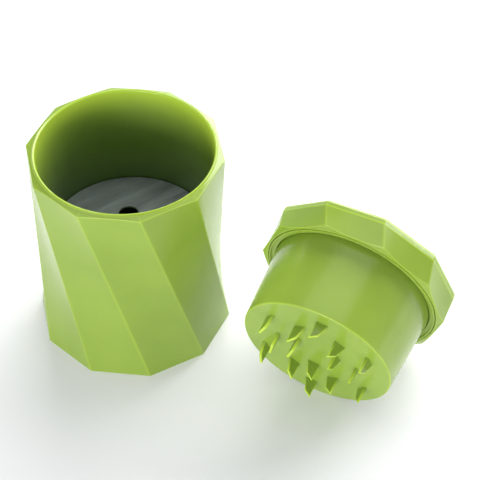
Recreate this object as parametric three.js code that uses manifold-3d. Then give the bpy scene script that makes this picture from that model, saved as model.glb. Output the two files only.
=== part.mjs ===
// Hand twist grinder: a faceted cup with a steel plate inside, and its lid lying beside it.
// Units are millimetres, +Z is up, and the origin is the centre of the cup's base.
import * as THREE from 'three';
import { mergeVertices } from 'three/addons/utils/BufferGeometryUtils.js';
import Module from 'manifold-3d';

// ---- Driving dimensions ----
const sides = 10; // facets round the cup and the lid
const facetStep = (2 * Math.PI) / sides;
const cornerRadius = 40; // axis to corner, at the cup's top
const baseCornerRadius = 40.4;
const cupFirstCorner = THREE.MathUtils.degToRad(28.3);
const cupTwist = facetStep; // each edge leans by one whole facet from top to base

const shoulderHeight = 89.2; // where the facet edges end below the rim
const shoulderSlope = 0.26; // how steeply the rim rises inwards from there
const rimHeight = 90.9;
const baseChamfer = 0.6;
const floorThickness = 3;

const mouthRadius = 35.7;
const mouthDepth = 6; // the bore narrows quickly over this depth, then slowly
const throatRadius = 35.2;
const boreFootRadius = 34; // upper chamber, where the plate lies
const lowerChamberRadius = 31.7;
const plateThickness = 1;
const plateTop = 44.2;
const restGap = 0.3; // between pieces that rest on each other
const ledgeHeight = plateTop - plateThickness - restGap;
const plateRadius = 33.6;
const plateHoleRadius = 4.1;
const plateHolePitchRadius = 12.1;
const plateHoles = 3;
const plateFirstHole = THREE.MathUtils.degToRad(95);

const capLipProud = 1.05; // how far the flat of the lip stands out past the facet corners
const capLipSlope = 0.55; // of the cone that trims the corners back from it
const capFacetTop = 9.3;
const capFacetTopRadius = 40.4;
const capShoulderHeight = 11.7;
const capShoulderRadius = 40.1;
const capHeight = 12.6;
const capTopRadius = 39;
const capTwist = THREE.MathUtils.degToRad(-5.9); // over the height of the facets
const capFlatRadius = 37.6; // outer edge of the flat of the lip
const capSeatRadius = 36.9; // recess that holds the slip ring
const capSeatDepth = 3.2;
const capSpigotRadius = 34.2; // recess that holds the top of the plug
const capTopThickness = 2.2;

const plugRootRadius = 33.8;
const plugTipRadius = 31.9;
const plugLength = 34.1; // from the cap's lip to the plug's face
const plugSpigot = 8.8; // how far the plug reaches up into the cap
const plugWall = 2;
const plugEdgeRound = 0.5;

const ringInnerRadius = plugRootRadius + restGap;
const ringOuterRadius = capSeatRadius - restGap;
const ringProud = 1.25; // past the facet corners of the cap's lip
const ringFaceRecess = 0.8;
const ringLipWidth = 0.7;

const finThickness = 1.1;
const finOutline = [[-2.6, 0], [2.6, 0], [2.6, 7.5], [-0.6, 5.3]]; // along the plate, out of the face
const finRoot = 0.4; // how deep each fin is rooted in the plug's floor
const finRings = [
  { radius: 24.5, azimuths: [5, 65, 125, 185, 245, 305] },
  { radius: 17, azimuths: [35, 95, 155, 215, 275, 335] },
  { radius: 9.2, azimuths: [8, 116, 252] },
];

// The lid lies on the table on one corner of its lip and the edge of its plug.
const lidX = 89.9;
const lidY = -26;
const lidYaw = THREE.MathUtils.degToRad(62.8); // heading of the lid's axis, towards the cap's top
const lidRoll = THREE.MathUtils.degToRad(5.2); // from lying on the middle of a facet
const floorClearance = 0.05;
const cornerFromDown = facetStep / 2 - lidRoll;
const lipContactRadius = cornerRadius * Math.cos(cornerFromDown);
const lidTilt = Math.atan2(lipContactRadius - plugTipRadius, plugLength - plugEdgeRound);
const lidZ = lipContactRadius * Math.cos(lidTilt) + floorClearance;

const roundSegments = 60; // a multiple of the facets, so that facet corners fall on points
const wallLevels = 8;

const plasticGreen = 0x9cc43a;

// ---- Solids ----
const wasm = await Module();
wasm.setup();

function toSolid(geometry) {
  const positions = geometry.index ? geometry.clone() : geometry;
  positions.deleteAttribute('normal');
  positions.deleteAttribute('uv');
  const merged = mergeVertices(positions, 1e-4);
  return new wasm.Manifold(new wasm.Mesh({
    numProp: 3,
    vertProperties: new Float32Array(merged.attributes.position.array),
    triVerts: new Uint32Array(merged.index.array),
  }));
}

function toGeometry(solid) {
  const mesh = solid.getMesh();
  const geometry = new THREE.BufferGeometry();
  geometry.setAttribute('position', new THREE.BufferAttribute(mesh.vertProperties, 3));
  geometry.setIndex(new THREE.BufferAttribute(mesh.triVerts, 1));
  geometry.computeVertexNormals();
  return geometry;
}

// A closed solid through rings of points, all rings with the same number of points.
function loft(rings) {
  const count = rings[0].length;
  const last = rings.length - 1;
  const vertices = rings.flat().flatMap((point) => point.toArray());
  const triangles = [];
  for (let level = 0; level < last; level += 1) {
    for (let i = 0; i < count; i += 1) {
      const next = (i + 1) % count;
      const a = level * count + i;
      const b = level * count + next;
      triangles.push(a, b, b + count, a, b + count, a + count);
    }
  }
  const bottomCentre = vertices.length / 3;
  vertices.push(0, 0, rings[0][0].z, 0, 0, rings[last][0].z);
  for (let i = 0; i < count; i += 1) {
    const next = (i + 1) % count;
    triangles.push(bottomCentre, next, i);
    triangles.push(bottomCentre + 1, last * count + i, last * count + next);
  }
  const geometry = new THREE.BufferGeometry();
  geometry.setAttribute('position', new THREE.Float32BufferAttribute(vertices, 3));
  geometry.setIndex(triangles);
  return toSolid(geometry);
}

// A solid of revolution about Z. The profile is [radius, height] points with both ends on the axis.
function turned(profile) {
  const points = profile.map(([radius, height]) => new THREE.Vector2(radius, height));
  const geometry = new THREE.LatheGeometry(points, roundSegments);
  geometry.rotateX(Math.PI / 2);
  return toSolid(geometry);
}

function corner(radius, azimuth, z) {
  return new THREE.Vector3(radius * Math.cos(azimuth), radius * Math.sin(azimuth), z);
}

// The corners of a facet edge are joined by straight lines, so each facet is a ruled twisted face.
function decagonPoints(cornerAt) {
  const perSide = roundSegments / sides;
  const points = [];
  for (let k = 0; k < sides; k += 1) {
    for (let j = 0; j < perSide; j += 1) {
      points.push(cornerAt(k).lerp(cornerAt(k + 1), j / perSide));
    }
  }
  return points;
}

// Raises points in step with how far they lie inside the corner radius.
function coned(points, slope) {
  return points.map((point) => {
    const inside = cornerRadius - Math.hypot(point.x, point.y);
    return new THREE.Vector3(point.x, point.y, point.z + slope * inside);
  });
}

function circlePoints(radius, z, firstAzimuth) {
  return Array.from({ length: roundSegments }, (_, i) => (
    corner(radius, firstAzimuth + (2 * Math.PI * i) / roundSegments, z)
  ));
}

// ---- Cup ----
function cupCorner(k, height) {
  const top = corner(cornerRadius, cupFirstCorner + k * facetStep, shoulderHeight);
  const base = corner(baseCornerRadius, cupFirstCorner + k * facetStep + cupTwist, 0);
  return top.lerp(base, 1 - height / shoulderHeight);
}

function makeCup() {
  const foot = decagonPoints((k) => cupCorner(k, 0))
    .map((point) => point.multiplyScalar(1 - baseChamfer / baseCornerRadius));
  const rings = [foot];
  for (let level = 0; level < wallLevels; level += 1) {
    const height = baseChamfer + ((shoulderHeight - baseChamfer) * level) / wallLevels;
    rings.push(decagonPoints((k) => cupCorner(k, height)));
  }
  rings.push(coned(decagonPoints((k) => cupCorner(k, shoulderHeight)), shoulderSlope));
  rings.push(circlePoints(mouthRadius + 0.5, rimHeight, cupFirstCorner));
  const bore = turned([
    [0, floorThickness],
    [lowerChamberRadius - 1, floorThickness],
    [lowerChamberRadius, floorThickness + 1],
    [lowerChamberRadius, ledgeHeight],
    [boreFootRadius, ledgeHeight],
    [throatRadius, rimHeight - mouthDepth],
    [mouthRadius, rimHeight - 1],
    [mouthRadius + 0.3, rimHeight + 1],
    [0, rimHeight + 1],
  ]);
  return loft(rings).subtract(bore);
}

// ---- Steel plate ----
function makePlate() {
  const bottom = plateTop - plateThickness;
  let plate = turned([[0, bottom], [plateRadius, bottom], [plateRadius, plateTop], [0, plateTop]]);
  for (let i = 0; i < plateHoles; i += 1) {
    const azimuth = plateFirstHole + (2 * Math.PI * i) / plateHoles;
    const hole = new THREE.CylinderGeometry(plateHoleRadius, plateHoleRadius, 4 * plateThickness, 32);
    hole.rotateX(Math.PI / 2);
    hole.translate(
      plateHolePitchRadius * Math.cos(azimuth),
      plateHolePitchRadius * Math.sin(azimuth),
      plateTop,
    );
    plate = plate.subtract(toSolid(hole));
  }
  return plate;
}

// ---- Lid: height 0 is the plane of the cap's lip, and +Z points to the cap's top ----
function capCorner(k, height) {
  const share = height / capFacetTop;
  const lip = corner(cornerRadius, (k + 0.5) * facetStep, 0);
  const top = corner(capFacetTopRadius, (k + 0.5) * facetStep + capTwist, capFacetTop);
  return lip.lerp(top, share);
}

function makeCap() {
  const rings = [
    circlePoints(capFlatRadius, -capLipProud, facetStep / 2),
    coned(decagonPoints((k) => capCorner(k, 0)), -capLipSlope),
    decagonPoints((k) => capCorner(k, capFacetTop / 2)),
    decagonPoints((k) => capCorner(k, capFacetTop)),
  ];
  const top = decagonPoints((k) => capCorner(k, capFacetTop));
  for (const [radius, height] of [[capShoulderRadius, capShoulderHeight], [capTopRadius, capHeight]]) {
    const shrink = radius / capFacetTopRadius;
    rings.push(top.map(({ x, y }) => new THREE.Vector3(x * shrink, y * shrink, height)));
  }
  const pocket = turned([
    [0, -2],
    [capSeatRadius, -2],
    [capSeatRadius, capSeatDepth],
    [capSpigotRadius, capSeatDepth],
    [capSpigotRadius, capHeight - capTopThickness],
    [0, capHeight - capTopThickness],
  ]);
  return loft(rings).subtract(pocket);
}

function makeFin(radius, azimuth) {
  const outline = new THREE.Shape(finOutline.map(([along, out]) => (
    new THREE.Vector2(along, out > 0 ? out : -finRoot)
  )));
  const fin = new THREE.ExtrudeGeometry(outline, { depth: finThickness, bevelEnabled: false });
  fin.translate(0, 0, -finThickness / 2);
  fin.rotateX(-Math.PI / 2); // the outline now stands out along -Z, with its face towards Y
  fin.translate(0, radius, -plugLength);
  fin.rotateZ(azimuth - Math.PI / 2);
  return toSolid(fin);
}

function makePlug() {
  const innerRoot = plugRootRadius - plugWall;
  const innerTip = plugTipRadius - plugWall;
  let plug = turned([
    [0, -plugLength],
    [plugTipRadius - plugEdgeRound, -plugLength],
    [plugTipRadius, -plugLength + plugEdgeRound],
    [plugRootRadius, 0],
    [plugRootRadius, plugSpigot],
    [innerRoot, plugSpigot],
    [innerRoot, 0],
    [innerTip, -plugLength + plugWall],
    [0, -plugLength + plugWall],
  ]);
  for (const { radius, azimuths } of finRings) {
    for (const degrees of azimuths) {
      plug = plug.add(makeFin(radius, THREE.MathUtils.degToRad(degrees)));
    }
  }
  return plug;
}

function makeSlipRing() {
  const back = capSeatDepth - restGap;
  const profile = [
    [ringInnerRadius, -ringProud + ringFaceRecess],
    [ringOuterRadius - ringLipWidth, -ringProud + ringFaceRecess],
    [ringOuterRadius - ringLipWidth, -ringProud],
    [ringOuterRadius, -ringProud],
    [ringOuterRadius, back],
    [ringInnerRadius, back],
    [ringInnerRadius, -ringProud + ringFaceRecess],
  ];
  return turned(profile);
}

// ---- Assembly ----
function piece(name, solid, color, roughness, metalness) {
  const mesh = new THREE.Mesh(
    toGeometry(solid),
    new THREE.MeshStandardMaterial({ color, roughness, metalness }),
  );
  mesh.name = name;
  return mesh;
}

function lidPose() {
  const axis = new THREE.Vector3(
    Math.cos(lidTilt) * Math.cos(lidYaw),
    Math.cos(lidTilt) * Math.sin(lidYaw),
    Math.sin(lidTilt),
  );
  const down = new THREE.Vector3(0, 0, -1);
  down.addScaledVector(axis, -down.dot(axis)).normalize();
  const side = new THREE.Vector3().crossVectors(axis, down);
  const lying = new THREE.Matrix4().makeBasis(down, side, axis);
  return lying.multiply(new THREE.Matrix4().makeRotationZ(lidRoll));
}

const grinder = new THREE.Group();
grinder.add(piece('cup', makeCup(), plasticGreen, 0.3, 0));
grinder.add(piece('grinding_plate', makePlate(), 0x8b8e92, 0.35, 1));

const lid = new THREE.Group();
lid.setRotationFromMatrix(lidPose());
lid.position.set(lidX, lidY, lidZ);
lid.add(piece('lid_cap', makeCap(), plasticGreen, 0.3, 0));
lid.add(piece('lid_plug', makePlug(), plasticGreen, 0.25, 0));
lid.add(piece('slip_ring', makeSlipRing(), plasticGreen, 0.35, 0));
grinder.add(lid);

export default grinder;
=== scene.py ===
"""Looks of a hand twist grinder: a faceted green plastic cup with a steel plate, and its loose lid."""

import math

import bmesh
import bpy
import numpy as np
from mathutils import Matrix, Vector
from mathutils.kdtree import KDTree


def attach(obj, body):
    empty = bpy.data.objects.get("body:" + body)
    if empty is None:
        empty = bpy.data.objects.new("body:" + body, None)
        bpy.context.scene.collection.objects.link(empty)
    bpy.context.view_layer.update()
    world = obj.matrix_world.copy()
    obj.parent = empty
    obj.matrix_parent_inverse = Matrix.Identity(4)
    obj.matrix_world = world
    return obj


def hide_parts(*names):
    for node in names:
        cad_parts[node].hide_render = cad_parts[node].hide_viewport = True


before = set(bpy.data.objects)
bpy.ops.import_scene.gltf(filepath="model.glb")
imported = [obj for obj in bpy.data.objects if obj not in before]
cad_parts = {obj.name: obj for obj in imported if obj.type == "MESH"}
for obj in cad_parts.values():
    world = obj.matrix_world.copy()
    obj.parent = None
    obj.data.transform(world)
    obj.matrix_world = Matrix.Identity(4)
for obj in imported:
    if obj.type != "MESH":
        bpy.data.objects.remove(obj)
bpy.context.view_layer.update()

# ---- Driving dimensions, in millimetres and degrees ----
MM = 0.001
SIDES = 10
FACET_STEP = 2 * math.pi / SIDES
CORNER_RADIUS = 40.0
BASE_CORNER_RADIUS = 40.4
EDGE_ROUND = 1.2  # rounding of the upright edges between facets

CUP_FIRST_CORNER = math.radians(28.3)
CUP_TWIST = FACET_STEP
SHOULDER_HEIGHT = 89.2
SHOULDER_SLOPE = 0.26
LAND_RADIUS = 37.0  # foot of the raised lip round the bore
LAND_HEIGHT = 90.05
RIM_HEIGHT = 90.9
LIP_RADIUS = 36.4
MOUTH_RADIUS = 35.7
MOUTH_DEPTH = 6.0
THROAT_RADIUS = 35.2
BORE_FOOT_RADIUS = 34.0
LEDGE_HEIGHT = 42.9
LOWER_CHAMBER_RADIUS = 31.7
FLOOR_THICKNESS = 3.0
WALL_LEVELS = 30

PLATE_TOP = 44.2
PLATE_THICKNESS = 1.0
PLATE_RADIUS = 33.6
PLATE_HOLE_RADIUS = 4.1
PLATE_HOLE_PITCH_RADIUS = 12.1
PLATE_HOLE_AZIMUTHS = (95, 215, 335)

CAP_LIP_PROUD = 1.05
CAP_LIP_SLOPE = 0.55
CAP_FLAT_RADIUS = 37.4
CAP_FACET_TOP = 9.3
CAP_FACET_TOP_RADIUS = 40.4
CAP_SHOULDER_HEIGHT = 11.7
CAP_SHOULDER_RADIUS = 40.1
CAP_HEIGHT = 12.6
CAP_TOP_RADIUS = 39.0
CAP_TWIST = math.radians(-5.9)
CAP_SEAT_RADIUS = 36.9
CAP_SEAT_DEPTH = 3.2
CAP_SPIGOT_RADIUS = 34.2
CAP_TOP_THICKNESS = 2.2

PLUG_ROOT_RADIUS = 33.8
PLUG_TIP_RADIUS = 31.9
PLUG_LENGTH = 34.1
PLUG_SPIGOT = 8.8
PLUG_WALL = 2.0
PLUG_EDGE_ROUND = 0.5

RING_INNER_RADIUS = 34.1
RING_OUTER_RADIUS = 36.6
RING_PROUD = 1.25
RING_FACE_RECESS = 0.8
RING_LIP_WIDTH = 0.7
RING_BACK = 2.9

FIN_OUTLINE = ((-2.6, 0.0), (2.6, 0.0), (2.6, 7.5), (-0.6, 5.3))  # along the fin, out of the face
FIN_BASE_THICKNESS = 1.4
FIN_TIP_THICKNESS = 0.95
FIN_EDGE_ROUND = 0.2
FIN_INSET = 0.4  # width of the painted bright border on a fin's faces
FIN_ROOT = 0.6  # how deep a fin is rooted in the plug's floor
FIN_RINGS = (
    (24.5, (5, 65, 125, 185, 245, 305)),
    (17.0, (35, 95, 155, 215, 275, 335)),
    (9.2, (8, 116, 252)),
)

LID_X = 89.9
LID_Y = -26.0
LID_YAW = math.radians(62.8)
LID_ROLL = math.radians(5.2)
FLOOR_CLEARANCE = 0.05  # under the lid's lowest corner

CAMERA_PLACE = (44.97, -580.71, 626.24)
CAMERA_DOWN = 45.31
CAMERA_ROLL = -0.865
CAMERA_LENS = 150.0

# ---- Colours and light ----
FRESH_GREEN = (0.27, 0.39, 0.05)
DEEP_GREEN = (0.235, 0.347, 0.04)
# Painted highlight: the colour painted on thin edges, and the colour of their painted glow
PAINTED_EDGE_LIGHT_GREEN = (0.4, 0.53, 0.04)
PAINTED_BORE_SHADE_GREEN = (0.1, 0.16, 0.045)  # painted shade at the foot of the bore
MOULDED_GLOSS = 0.17
RING_GLOSS = 0.26
PAINTED_EDGE_EMISSION = 0.35  # painted glow: light that the brightest edges give off of their own, though they are no lamp
PAINTED_ROUND_EDGE_LIGHT = 0.35  # painted highlight of a rounded edge
# painted highlight along the rounded upright edges between facets
PAINTED_FACET_EDGE_LIGHT = 0.14
# painted highlight along a fin's edges
PAINTED_FIN_EDGE_LIGHT = 0.8
DARK_STEEL = (0.33, 0.34, 0.41)
PALE_STEEL = (0.6, 0.62, 0.72)
FLOOR_SHADES = ((0.7, 0.7, 0.7), (0.72, 0.72, 0.72))
FLOOR_SHINE = 0.14
HORIZON_BEHIND = (0.15, 0.17, 0.21)
HORIZON_IN_FRONT = (0.42, 0.48, 0.57)
OVERHEAD = (0.04, 0.045, 0.06)
EXPOSURE = 0.48
SOFTBOXES = (  # name, place, target, width, height, power; in metres and watts
    ("key", (-0.7, -1.5, 0.35), (0.05, 0, 0.05), 1.2, 0.5, 17),
    ("side", (1.4, -0.9, 0.35), (0.05, 0, 0.05), 0.8, 0.5, 1.5),
    ("back", (0.75, 1.15, 0.95), (0.1, 0, 0.0), 2.6, 1.0, 52),
    ("top", (-0.2, 0.1, 1.2), (-0.2, 0.1, 0.0), 2.0, 0.7, 4),
)

# ---- Mesh resolution ----
ARC_POINTS = 7
FACET_POINTS = 16
ROUND_POINTS = 7
HOLE_POINTS = 64
END_MARGIN = 4  # how far a closing face's border lies inside the edge round it


# ---- Rings of points: complex numbers in the plane, then levels in space ----

def facet_outline(radius, rounding=EDGE_ROUND):
    """A regular decagon with rounded corners, with its first corner on the x axis."""
    half = FACET_STEP / 2
    arc = rounding * np.exp(1j * np.linspace(-half, half, ARC_POINTS))
    arc = arc + radius - rounding / math.cos(half)
    following = arc[0] * np.exp(1j * FACET_STEP)
    margin = 0.35 / abs(following - arc[-1])
    shares = np.concatenate([[margin], np.linspace(0, 1, FACET_POINTS)[1:-1], [1 - margin]])
    side = np.concatenate([arc, arc[-1] + (following - arc[-1]) * shares])
    return np.concatenate([side * np.exp(1j * FACET_STEP * k) for k in range(SIDES)])


UNIT_CIRCLE = facet_outline(CORNER_RADIUS) / np.abs(facet_outline(CORNER_RADIUS))


def level(outline, height, phase=0.0, painted_light_and_shade=0.0):
    """Points with four values: x, y, z and painted light and shade.

    Painted light and shade on the plastic: 0 on open walls, up to 1 for a painted highlight at thin
    edges, -1 for painted shade deep in the bore.
    """
    turned = outline * np.exp(1j * phase)
    same = np.ones(len(turned))
    return np.stack([turned.real, turned.imag, same * height, same * painted_light_and_shade], axis=1)


def facet_level(radius, height, phase=0.0, painted_edge_light=PAINTED_FACET_EDGE_LIGHT):
    points = level(facet_outline(radius), height, phase)
    place_in_side = np.arange(len(points)) % (ARC_POINTS + FACET_POINTS)
    # Painted highlight along the rounded upright edges between facets.
    points[place_in_side < ARC_POINTS, 3] = painted_edge_light
    return points


def coned(ring, slope):
    """Raises points in step with how far they lie inside the corner radius."""
    raised = ring.copy()
    raised[:, 2] += slope * (CORNER_RADIUS - np.hypot(ring[:, 0], ring[:, 1]))
    return raised


def circle_level(radius, height, phase=0.0, painted_light_and_shade=0.0):
    return level(radius * UNIT_CIRCLE, height, phase, painted_light_and_shade)


def towards(start, end, distance, limit):
    """Points at that distance from start on the way to end, but never past that share of the way."""
    step = end - start
    length = np.linalg.norm(step[:, :3], axis=1, keepdims=True)
    return start + step * np.minimum(distance / length, limit)


def rounded(levels, loop=False):
    """Levels with a rounding size each: a level with a size above 0 becomes a rounded edge with a
    painted highlight along it.
    """
    result = []
    count = len(levels)
    for i, (ring, size) in enumerate(levels):
        inner = loop or 0 < i < count - 1
        if size <= 0 or not inner:
            result.append(ring)
            continue
        before = levels[i - 1][0]
        after = levels[(i + 1) % count][0]
        start = towards(ring, before, size, 0.3)
        end = towards(ring, after, size, 0.3)
        result.append(towards(ring, before, size * 1.5, 0.45))
        for share in np.linspace(0, 1, ROUND_POINTS):
            bend = (1 - share) ** 2 * start + 2 * share * (1 - share) * ring + share ** 2 * end
            # Painted highlight: light painted along the middle of each rounded edge.
            bend[:, 3] = np.maximum(bend[:, 3], PAINTED_ROUND_EDGE_LIGHT * math.sin(math.pi * share))
            result.append(bend)
        result.append(towards(ring, after, size * 1.5, 0.45))
    return result


# ---- Meshes ----
def add_piece(name, mesh, place=None):
    mesh.update()
    piece = bpy.data.objects.new(name, mesh)
    bpy.context.scene.collection.objects.link(piece)
    if place is not None:
        piece.data.transform(place)
    return piece


def skin(name, levels, loop=False):
    """One closed surface through the levels. Unless it is a loop, a flat face closes each end."""
    count = len(levels[0])
    points = np.concatenate(levels)
    vertices = points[:, :3] * MM
    faces = []
    last = len(levels) if loop else len(levels) - 1
    for row in range(last):
        lower = row * count
        upper = ((row + 1) % len(levels)) * count
        for i in range(count):
            after = (i + 1) % count
            faces.append((lower + i, lower + after, upper + after, upper + i))
    if not loop:
        top = last * count
        faces.append(tuple(range(count - 1, -1, -1)))
        faces.append(tuple(range(top, top + count)))
    mesh = bpy.data.meshes.new(name)
    mesh.from_pydata(vertices.tolist(), [], faces)
    painted_light_and_shade = mesh.attributes.new("painted_light_and_shade", "FLOAT", "POINT")
    painted_light_and_shade.data.foreach_set("value", points[:, 3].astype(np.float32))
    return mesh


def smooth(piece, angle=40):
    piece.data.shade_smooth()
    piece.data.set_sharp_from_angle(angle=math.radians(angle))


def combine(piece, other, operation):
    modifier = piece.modifiers.new(operation.lower(), "BOOLEAN")
    modifier.operation = operation
    modifier.solver = "EXACT"
    modifier.object = other
    graph = bpy.context.evaluated_depsgraph_get()
    mesh = bpy.data.meshes.new_from_object(piece.evaluated_get(graph))
    piece.modifiers.remove(modifier)
    piece.data = mesh
    bpy.data.objects.remove(other)


# ---- Cup ----
def cup_wall_level(height):
    """The facet edges are straight lines that lean from the top to the base."""
    share = 1 - height / SHOULDER_HEIGHT
    lean = (1 - share) + share * BASE_CORNER_RADIUS / CORNER_RADIUS * np.exp(1j * CUP_TWIST)
    phase = CUP_FIRST_CORNER + np.angle(lean)
    return facet_level(CORNER_RADIUS * abs(lean), height, phase)


def cup_bore_level(radius, height, painted_light_and_shade=0.0):
    return circle_level(radius, height, CUP_FIRST_CORNER, painted_light_and_shade)


def make_cup():
    base_phase = CUP_FIRST_CORNER + CUP_TWIST
    levels = [(facet_level(BASE_CORNER_RADIUS - END_MARGIN, 0, base_phase, 0), 0)]
    levels.append((cup_wall_level(0), 0.7))
    for step in range(1, WALL_LEVELS):
        levels.append((cup_wall_level(SHOULDER_HEIGHT * step / WALL_LEVELS), 0))
    levels.append((coned(cup_wall_level(SHOULDER_HEIGHT), SHOULDER_SLOPE), 0.4))
    levels.append((cup_bore_level(LAND_RADIUS, LAND_HEIGHT), 0.3))
    # The last number of a bore level is painted light and shade: a painted highlight band at the lip and
    # mouth, then painted shade down the bore, on the ledge and in the lower chamber.
    levels.append((cup_bore_level(LIP_RADIUS, RIM_HEIGHT, 0.4), 0.3))
    levels.append((cup_bore_level(MOUTH_RADIUS, RIM_HEIGHT - 0.5, 0.5), 0.45))
    levels.append((cup_bore_level(THROAT_RADIUS, RIM_HEIGHT - MOUTH_DEPTH, 0.15), 0))
    levels.append((cup_bore_level(THROAT_RADIUS - 0.15, RIM_HEIGHT - MOUTH_DEPTH * 2.2, -0.1), 0))
    levels.append((cup_bore_level(BORE_FOOT_RADIUS, LEDGE_HEIGHT, -1), 0.3))
    levels.append((cup_bore_level(LOWER_CHAMBER_RADIUS, LEDGE_HEIGHT, -1), 0.4))
    levels.append((cup_bore_level(LOWER_CHAMBER_RADIUS, FLOOR_THICKNESS, -1), 1.2))
    levels.append((cup_bore_level(LOWER_CHAMBER_RADIUS - 6, FLOOR_THICKNESS, -1), 0))
    cup = add_piece("green_cup", skin("green_cup", rounded(levels)))
    smooth(cup)
    return cup


# ---- Steel plate ----
def make_plate():
    bottom = PLATE_TOP - PLATE_THICKNESS
    levels = [
        (circle_level(PLATE_RADIUS - END_MARGIN, bottom), 0),
        (circle_level(PLATE_RADIUS, bottom), 0.15),
        (circle_level(PLATE_RADIUS, PLATE_TOP), 0.2),
        (circle_level(PLATE_RADIUS - END_MARGIN, PLATE_TOP), 0),
    ]
    plate = add_piece("steel_plate", skin("steel_plate", rounded(levels)))
    for number, degrees in enumerate(PLATE_HOLE_AZIMUTHS):
        azimuth = math.radians(degrees)
        centre = PLATE_HOLE_PITCH_RADIUS * np.exp(1j * azimuth)
        combine(plate, make_hole_cutter(number, centre, bottom), "DIFFERENCE")
    smooth(plate, 50)
    return plate


def make_hole_cutter(number, centre, bottom):
    """A punched hole: its edge is rolled over at the top face of the plate."""
    roll = 0.22
    outline = np.exp(2j * math.pi * np.arange(HOLE_POINTS) / HOLE_POINTS)
    levels = [level(outline * PLATE_HOLE_RADIUS + centre, bottom - 1)]
    for turn in np.linspace(0, math.radians(84), 7):
        radius = PLATE_HOLE_RADIUS + roll * (1 - math.cos(turn))
        height = PLATE_TOP - roll + roll * math.sin(turn)
        levels.append(level(outline * radius + centre, height))
    levels.append(level(outline * (PLATE_HOLE_RADIUS + roll) + centre, PLATE_TOP + 1))
    name = f"hole_cutter_{number}"
    return add_piece(name, skin(name, levels))


# ---- Lid: height 0 is the plane of the cap's lip, and +Z points to the cap's top ----
def lid_place():
    corner_from_down = FACET_STEP / 2 - LID_ROLL
    lip_contact = CORNER_RADIUS * math.cos(corner_from_down)
    tilt = math.atan2(lip_contact - PLUG_TIP_RADIUS, PLUG_LENGTH - PLUG_EDGE_ROUND)
    height = lip_contact * math.cos(tilt) + FLOOR_CLEARANCE
    axis = Vector((
        math.cos(tilt) * math.cos(LID_YAW),
        math.cos(tilt) * math.sin(LID_YAW),
        math.sin(tilt),
    ))
    down = Vector((0, 0, -1))
    down = (down - axis * down.dot(axis)).normalized()
    side = axis.cross(down)
    lying = Matrix((down, side, axis)).transposed().to_4x4()
    rolled = lying @ Matrix.Rotation(LID_ROLL, 4, "Z")
    return Matrix.Translation(Vector((LID_X, LID_Y, height)) * MM) @ rolled


def cap_facet_level(height):
    share = height / CAP_FACET_TOP
    lean = CORNER_RADIUS * (1 - share) + CAP_FACET_TOP_RADIUS * share * np.exp(1j * CAP_TWIST)
    return facet_level(abs(lean), height, FACET_STEP / 2 + np.angle(lean))


def make_cap(place):
    top_phase = FACET_STEP / 2 + CAP_TWIST
    ceiling = CAP_HEIGHT - CAP_TOP_THICKNESS
    phase = FACET_STEP / 2
    levels = [
        (circle_level(CAP_SPIGOT_RADIUS - END_MARGIN, ceiling, phase), 0),
        (circle_level(CAP_SPIGOT_RADIUS, ceiling, phase), 0.5),
        (circle_level(CAP_SPIGOT_RADIUS, CAP_SEAT_DEPTH, phase), 0.2),
        (circle_level(CAP_SEAT_RADIUS, CAP_SEAT_DEPTH, phase), 0.2),
        (circle_level(CAP_SEAT_RADIUS, -CAP_LIP_PROUD, phase), 0.2),
        (circle_level(CAP_FLAT_RADIUS, -CAP_LIP_PROUD, phase), 0.15),
        (coned(cap_facet_level(0), -CAP_LIP_SLOPE), 0.3),
        (cap_facet_level(CAP_FACET_TOP * 0.35), 0),
        (cap_facet_level(CAP_FACET_TOP * 0.65), 0),
        (cap_facet_level(CAP_FACET_TOP), 0.5),
        (facet_level(CAP_SHOULDER_RADIUS, CAP_SHOULDER_HEIGHT, top_phase), 0.7),
        (facet_level(CAP_TOP_RADIUS, CAP_HEIGHT, top_phase), 0.7),
        (facet_level(CAP_TOP_RADIUS - 2, CAP_HEIGHT, top_phase, 0), 0),
    ]
    cap = add_piece("lid_cap_shell", skin("lid_cap_shell", rounded(levels)), place)
    smooth(cap)
    return cap


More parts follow.
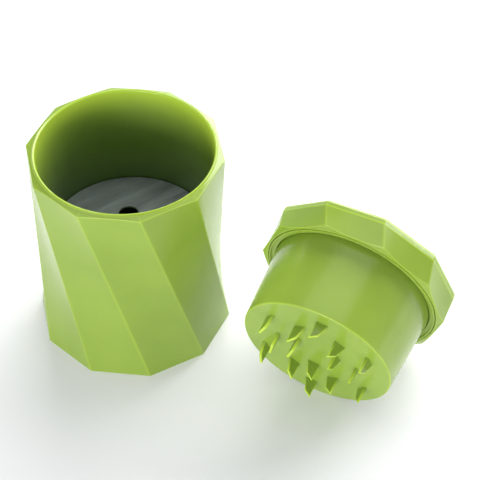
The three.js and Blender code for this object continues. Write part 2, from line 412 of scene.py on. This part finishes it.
def add_fin(solid, radius, azimuth):
    """A pointed plate across the radius, thinner at its tip, with rounded edges and a painted highlight
    along them.
    """
    tallest = max(out for _, out in FIN_OUTLINE)
    corners = []
    for face in (-0.5, 0.5):
        for along, out in FIN_OUTLINE:
            height = out if out > 0 else -FIN_ROOT
            share = max(height, 0) / tallest
            thickness = FIN_BASE_THICKNESS + (FIN_TIP_THICKNESS - FIN_BASE_THICKNESS) * share
            corners.append(solid.verts.new((along * MM, face * thickness * MM, -height * MM)))
    count = len(FIN_OUTLINE)
    faces = [
        solid.faces.new(corners[:count]),
        solid.faces.new(corners[:count - 1:-1]),
    ]
    for i in range(count):
        after = (i + 1) % count
        quad = (corners[after], corners[i], corners[count + i], corners[count + after])
        faces.append(solid.faces.new(quad))
    root = [corners[0], corners[1], corners[count], corners[count + 1]]
    edges = {edge for face in faces for edge in face.edges}
    edges = [edge for edge in edges if not all(vertex in root for vertex in edge.verts)]
    edges.sort(key=lambda edge: tuple(edge.verts[0].co) + tuple(edge.verts[1].co))
    bmesh.ops.bevel(
        solid, geom=edges, offset=FIN_EDGE_ROUND * MM, segments=3, profile=0.5, affect="EDGES",
    )
    # Painted highlight: the whole fin is painted light, then the middle of its two broad faces is set
    # back to none, leaving a bright border.
    painted_light_and_shade = solid.verts.layers.float["painted_light_and_shade"]
    for vertex in solid.verts:
        vertex[painted_light_and_shade] = PAINTED_FIN_EDGE_LIGHT
    solid.faces.ensure_lookup_table()
    broad = sorted(solid.faces, key=lambda face: face.calc_area())[-2:]
    bmesh.ops.inset_individual(solid, faces=broad, thickness=FIN_INSET * MM)
    for vertex in {vertex for face in broad for vertex in face.verts}:
        vertex[painted_light_and_shade] = 0.0
    turn = Matrix.Rotation(azimuth - math.pi / 2, 4, "Z")
    move = turn @ Matrix.Translation((0, radius * MM, -PLUG_LENGTH * MM))
    bmesh.ops.transform(solid, matrix=move, verts=solid.verts)


def make_fins():
    joined = bmesh.new()
    for radius, azimuths in FIN_RINGS:
        for degrees in azimuths:
            solid = bmesh.new()
            solid.verts.layers.float.new("painted_light_and_shade")
            add_fin(solid, radius, math.radians(degrees))
            single = bpy.data.meshes.new("fin")
            bmesh.ops.recalc_face_normals(solid, faces=solid.faces)
            solid.to_mesh(single)
            solid.free()
            joined.from_mesh(single)
            bpy.data.meshes.remove(single)
    mesh = bpy.data.meshes.new("fins")
    joined.to_mesh(mesh)
    joined.free()
    return add_piece("fins", mesh)


def restore_painted_light(piece, painted_shine):
    """A union drops the painted light of what it adds, so each vertex found again at its place takes it
    back.
    """
    tree = KDTree(len(painted_shine))
    for index, (place, _) in enumerate(painted_shine):
        tree.insert(place, index)
    tree.balance()
    painted_light_and_shade = piece.data.attributes["painted_light_and_shade"].data
    for vertex in piece.data.vertices:
        _, index, distance = tree.find(vertex.co)
        if distance < 0.001 * MM:
            painted_light_and_shade[vertex.index].value = painted_shine[index][1]


def make_plug(place):
    inner_root = PLUG_ROOT_RADIUS - PLUG_WALL
    inner_tip = PLUG_TIP_RADIUS - PLUG_WALL
    levels = [
        (circle_level(PLUG_TIP_RADIUS - 2, -PLUG_LENGTH), 0),
        (circle_level(PLUG_TIP_RADIUS, -PLUG_LENGTH), 0.8),
        (circle_level(PLUG_ROOT_RADIUS, 0), 0),
        (circle_level(PLUG_ROOT_RADIUS, PLUG_SPIGOT), 0.4),
        (circle_level(inner_root, PLUG_SPIGOT), 0.4),
        (circle_level(inner_root, 0), 0),
        (circle_level(inner_tip, -PLUG_LENGTH + PLUG_WALL), 1.0),
        (circle_level(inner_tip - END_MARGIN, -PLUG_LENGTH + PLUG_WALL), 0),
    ]
    plug = add_piece("lid_plug_body", skin("lid_plug_body", rounded(levels)))
    fins = make_fins()
    painted_light_and_shade = fins.data.attributes["painted_light_and_shade"].data
    # Painted highlight of the fins' edges, kept to be put back after the union.
    painted_shine = [(vertex.co.copy(), painted_light_and_shade[vertex.index].value) for vertex in fins.data.vertices]
    combine(plug, fins, "UNION")
    restore_painted_light(plug, painted_shine)
    plug.data.transform(place)
    smooth(plug, 32)
    return plug


def make_slip_ring(place):
    face = RING_FACE_RECESS - RING_PROUD
    levels = [
        (circle_level(RING_INNER_RADIUS, face), 0.15),
        (circle_level(RING_OUTER_RADIUS - RING_LIP_WIDTH, face), 0.12),
        (circle_level(RING_OUTER_RADIUS - RING_LIP_WIDTH, -RING_PROUD), 0.2),
        (circle_level(RING_OUTER_RADIUS, -RING_PROUD), 0.2),
        (circle_level(RING_OUTER_RADIUS, RING_BACK), 0.2),
        (circle_level(RING_INNER_RADIUS, RING_BACK), 0.2),
    ]
    mesh = skin("lid_slip_ring", rounded(levels, loop=True), loop=True)
    ring = add_piece("lid_slip_ring", mesh, place)
    smooth(ring)
    return ring


# ---- Materials ----
def new_material(name):
    material = bpy.data.materials.new(name)
    material.use_nodes = True
    tree = material.node_tree
    return material, tree, tree.nodes["Principled BSDF"]


def place_texture(tree, scale=(1, 1, 1), offset=(0, 0, 0), turn=0):
    """The piece's own coordinates, turned in plan by that many degrees, then scaled."""
    coordinates = tree.nodes.new("ShaderNodeTexCoord")
    mapping = tree.nodes.new("ShaderNodeMapping")
    mapping.inputs["Scale"].default_value = scale
    mapping.inputs["Location"].default_value = offset
    turned = tree.nodes.new("ShaderNodeVectorRotate")
    turned.rotation_type = "Z_AXIS"
    turned.inputs["Angle"].default_value = math.radians(turn)
    tree.links.new(coordinates.outputs["Object"], turned.inputs["Vector"])
    tree.links.new(turned.outputs["Vector"], mapping.inputs["Vector"])
    return mapping.outputs["Vector"]


def noise(tree, vector, scale, detail=2.0, roughness=0.5):
    texture = tree.nodes.new("ShaderNodeTexNoise")
    texture.inputs["Scale"].default_value = scale
    texture.inputs["Detail"].default_value = detail
    texture.inputs["Roughness"].default_value = roughness
    tree.links.new(vector, texture.inputs["Vector"])
    return texture.outputs["Fac"]


def spread(tree, value, low, high, start=0.3, end=0.7):
    """Maps the middle of a texture's values, from start to end, onto low to high."""
    remap = tree.nodes.new("ShaderNodeMapRange")
    remap.inputs["From Min"].default_value = start
    remap.inputs["From Max"].default_value = end
    remap.inputs["To Min"].default_value = low
    remap.inputs["To Max"].default_value = high
    tree.links.new(value, remap.inputs["Value"])
    return remap.outputs["Result"]


def blend_colours(tree, factor, first, second):
    mix = tree.nodes.new("ShaderNodeMix")
    mix.data_type = "RGBA"
    for socket, colour in (("A", first), ("B", second)):
        target = [s for s in mix.inputs if s.name == socket and s.type == "RGBA"][0]
        if isinstance(colour, tuple):
            target.default_value = (*colour, 1)
        else:
            tree.links.new(colour, target)
    tree.links.new(factor, mix.inputs["Factor"])
    return [s for s in mix.outputs if s.type == "RGBA"][0]


def add_bump(tree, height, distance, before=None):
    bump = tree.nodes.new("ShaderNodeBump")
    bump.inputs["Strength"].default_value = 1.0
    bump.inputs["Distance"].default_value = distance
    tree.links.new(height, bump.inputs["Height"])
    if before is not None:
        tree.links.new(before, bump.inputs["Normal"])
    return bump.outputs["Normal"]


def green_plastic(name, gloss, offset):
    """Translucent lime plastic with painted light: thin edges get a painted highlight and a painted
    glow, the bore painted shade; the pigment drifts and the skin is lightly rubbed.
    """
    material, tree, shader = new_material(name)
    vector = place_texture(tree, offset=offset)
    drift = spread(tree, noise(tree, vector, 32, 3), 0, 1)
    attribute = tree.nodes.new("ShaderNodeAttribute")
    attribute.attribute_name = "painted_light_and_shade"
    painted_light_and_shade = attribute.outputs["Fac"]
    body = blend_colours(tree, drift, FRESH_GREEN, DEEP_GREEN)
    # Painted shade deep in the bore, then a painted highlight on thin edges.
    with_painted_shade = blend_colours(tree, spread(tree, painted_light_and_shade, 1, 0, -1, 0), body, PAINTED_BORE_SHADE_GREEN)
    with_painted_highlight = blend_colours(tree, spread(tree, painted_light_and_shade, 0, 1, 0, 1), with_painted_shade, PAINTED_EDGE_LIGHT_GREEN)
    tree.links.new(with_painted_highlight, shader.inputs["Base Color"])
    # Painted glow: the thin edges give off light of their own, though they are no lamp.
    shader.inputs["Emission Color"].default_value = (*PAINTED_EDGE_LIGHT_GREEN, 1)
    painted_shine = spread(tree, painted_light_and_shade, 0, PAINTED_EDGE_EMISSION, 0, 1)
    tree.links.new(painted_shine, shader.inputs["Emission Strength"])
    rubbed = noise(tree, vector, 110, 6, 0.65)
    tree.links.new(spread(tree, rubbed, gloss, gloss + 0.1), shader.inputs["Roughness"])
    waves = add_bump(tree, noise(tree, vector, 140, 1), 0.00005)
    grain = add_bump(tree, noise(tree, vector, 2400, 2), 0.000004, waves)
    tree.links.new(grain, shader.inputs["Normal"])
    shader.inputs["IOR"].default_value = 1.5
    shader.inputs["Subsurface Weight"].default_value = 0.25
    shader.inputs["Subsurface Radius"].default_value = (0.8, 1.0, 0.2)
    shader.inputs["Subsurface Scale"].default_value = 0.0022
    return material


def rolled_steel(name):
    """Rolled sheet: fine lines along one direction, with faint smears across them."""
    material, tree, shader = new_material(name)
    lines = noise(tree, place_texture(tree, scale=(60, 2600, 60)), 1.0, 4, 0.7)
    smears = noise(tree, place_texture(tree, scale=(35, 240, 60), turn=-35), 1.0, 5, 0.65)
    tint = blend_colours(tree, spread(tree, smears, 0, 1), DARK_STEEL, PALE_STEEL)
    tree.links.new(tint, shader.inputs["Base Color"])
    tree.links.new(spread(tree, smears, 0.36, 0.52), shader.inputs["Roughness"])
    tree.links.new(add_bump(tree, lines, 0.000012), shader.inputs["Normal"])
    shader.inputs["Metallic"].default_value = 0.55
    return material


def pale_floor():
    material, tree, shader = new_material("floor_matt")
    mottle = spread(tree, noise(tree, place_texture(tree), 4, 2), 0, 1)
    tint = blend_colours(tree, mottle, *FLOOR_SHADES)
    tree.links.new(tint, shader.inputs["Base Color"])
    shader.inputs["Roughness"].default_value = 0.9
    shader.inputs["Specular IOR Level"].default_value = 0.0
    shader.inputs["Emission Color"].default_value = (1, 1, 1, 1)
    shader.inputs["Emission Strength"].default_value = FLOOR_SHINE
    return material


# ---- Studio ----
def make_floor():
    mesh = bpy.data.meshes.new("floor")
    half = 6.0
    corners = [(-half, -half, 0), (half, -half, 0), (half, half, 0), (-half, half, 0)]
    mesh.from_pydata(corners, [], [(0, 1, 2, 3)])
    floor = add_piece("floor", mesh)
    floor.location.z = -0.00005
    floor.data.materials.append(pale_floor())


def softbox(name, place, target, width, height, power):
    light = bpy.data.lights.new(name, "AREA")
    light.shape = "RECTANGLE"
    light.size = width
    light.size_y = height
    light.energy = power
    lamp = bpy.data.objects.new(name, light)
    bpy.context.scene.collection.objects.link(lamp)
    lamp.location = place
    aim = Vector(target) - Vector(place)
    lamp.rotation_euler = aim.to_track_quat("-Z", "Y").to_euler()


def light_studio():
    """A band of light at table height, brightest at the front left, a dark zenith and four softboxes."""
    world = bpy.data.worlds.new("studio")
    world.use_nodes = True
    tree = world.node_tree
    background = tree.nodes["Background"]
    coordinates = tree.nodes.new("ShaderNodeTexCoord")
    aside = tree.nodes.new("ShaderNodeVectorMath")
    aside.operation = "DOT_PRODUCT"
    aside.inputs[1].default_value = (-0.6, -0.8, 0.0)
    tree.links.new(coordinates.outputs["Generated"], aside.inputs[0])
    split = tree.nodes.new("ShaderNodeSeparateXYZ")
    tree.links.new(coordinates.outputs["Generated"], split.inputs["Vector"])
    around = spread(tree, aside.outputs["Value"], 0, 1, -1.0, 0.6)
    low = blend_colours(tree, around, HORIZON_BEHIND, HORIZON_IN_FRONT)
    above = spread(tree, split.outputs["Z"], 0, 1, 0.15, 0.6)
    tint = blend_colours(tree, above, low, OVERHEAD)
    tree.links.new(tint, background.inputs["Color"])
    background.inputs["Strength"].default_value = 1.0
    bpy.context.scene.world = world
    for box in SOFTBOXES:
        softbox(*box)


def add_camera():
    data = bpy.data.cameras.new("camera")
    data.lens = CAMERA_LENS
    data.sensor_width = 36.0
    camera = bpy.data.objects.new("camera", data)
    bpy.context.scene.collection.objects.link(camera)
    pitch = Matrix.Rotation(math.radians(90 - CAMERA_DOWN), 4, "X")
    roll = Matrix.Rotation(math.radians(CAMERA_ROLL), 4, "Z")
    camera.matrix_world = Matrix.Translation(Vector(CAMERA_PLACE) * MM) @ pitch @ roll
    data.clip_start = 0.01
    bpy.context.scene.camera = camera


# ---- The scene ----
def finish_piece(piece, body, node, material):
    piece.data.materials.clear()
    piece.data.materials.append(material)
    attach(piece, body)
    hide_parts(node)


add_camera()
cup_green = green_plastic("cup_green", MOULDED_GLOSS, (0, 0, 0))
lid_green = green_plastic("lid_green", MOULDED_GLOSS, (0.3, 0.1, 0))
ring_green = green_plastic("ring_green", RING_GLOSS, (0, 0.4, 0.1))

lid = lid_place()
finish_piece(make_cup(), "cup", "cup", cup_green)
finish_piece(make_plate(), "plate", "grinding_plate", rolled_steel("plate_steel"))
finish_piece(make_cap(lid), "lid", "lid_cap", lid_green)
finish_piece(make_plug(lid), "lid", "lid_plug", lid_green)
finish_piece(make_slip_ring(lid), "ring", "slip_ring", ring_green)

make_floor()
light_studio()
bpy.context.scene.view_settings.view_transform = "Standard"
bpy.context.scene.view_settings.exposure = EXPOSURE
